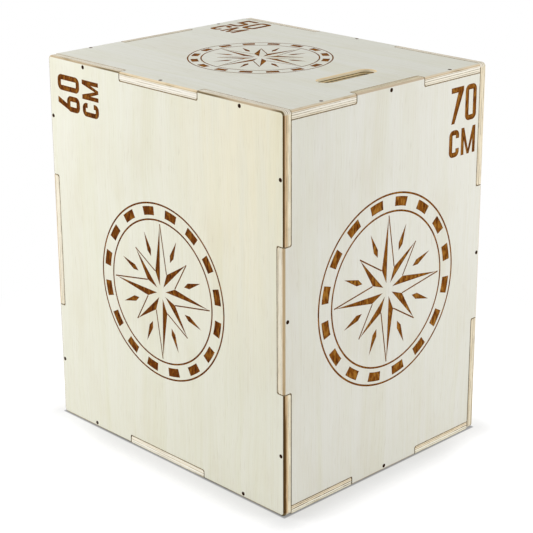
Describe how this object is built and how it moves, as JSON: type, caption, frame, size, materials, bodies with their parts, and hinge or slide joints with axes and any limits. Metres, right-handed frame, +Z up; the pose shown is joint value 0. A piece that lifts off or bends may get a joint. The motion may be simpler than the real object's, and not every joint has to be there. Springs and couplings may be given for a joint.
{
  "type": "plyo box",
  "caption": "Wooden plyo box of finger-jointed plywood boards, screwed together, with hand slots and an inner brace, to be stood on any side for jumps of three heights.",
  "frame": {"origin": "middle of the underside, on the floor", "axes": "+Z up along the 700 mm height, +X along the 600 mm length towards the hand slots, +Y across the 500 mm width towards the back"},
  "size_m": [0.6, 0.5, 0.7],
  "materials": {
    "plywood": "sanded, unvarnished pale veneer",
    "screw": "dark phosphated steel"
  },
  "bodies": {
    "root": {"back_panel": "plywood", "back_panel_bottom_screws": "screw", "back_panel_left_screws": "screw", "back_panel_right_screws": "screw", "back_panel_top_screws": "screw", "bottom_panel": "plywood", "bottom_panel_back_screw": "screw", "bottom_panel_front_screw": "screw", "bottom_panel_left_screws": "screw", "bottom_panel_right_screws": "screw", "centre_brace": "plywood", "front_panel": "plywood", "front_panel_bottom_screws": "screw", "front_panel_left_screws": "screw", "front_panel_right_screws": "screw", "front_panel_top_screws": "screw", "left_end_panel": "plywood", "left_end_panel_back_screw": "screw", "left_end_panel_bottom_screw": "screw", "left_end_panel_front_screw": "screw", "left_end_panel_top_screw": "screw", "right_end_panel": "plywood", "right_end_panel_back_screw": "screw", "right_end_panel_bottom_screw": "screw", "right_end_panel_front_screw": "screw", "right_end_panel_top_screw": "screw", "top_panel": "plywood", "top_panel_back_screw": "screw", "top_panel_front_screw": "screw", "top_panel_left_screws": "screw", "top_panel_right_screws": "screw"}
  },
  "joints": []
}
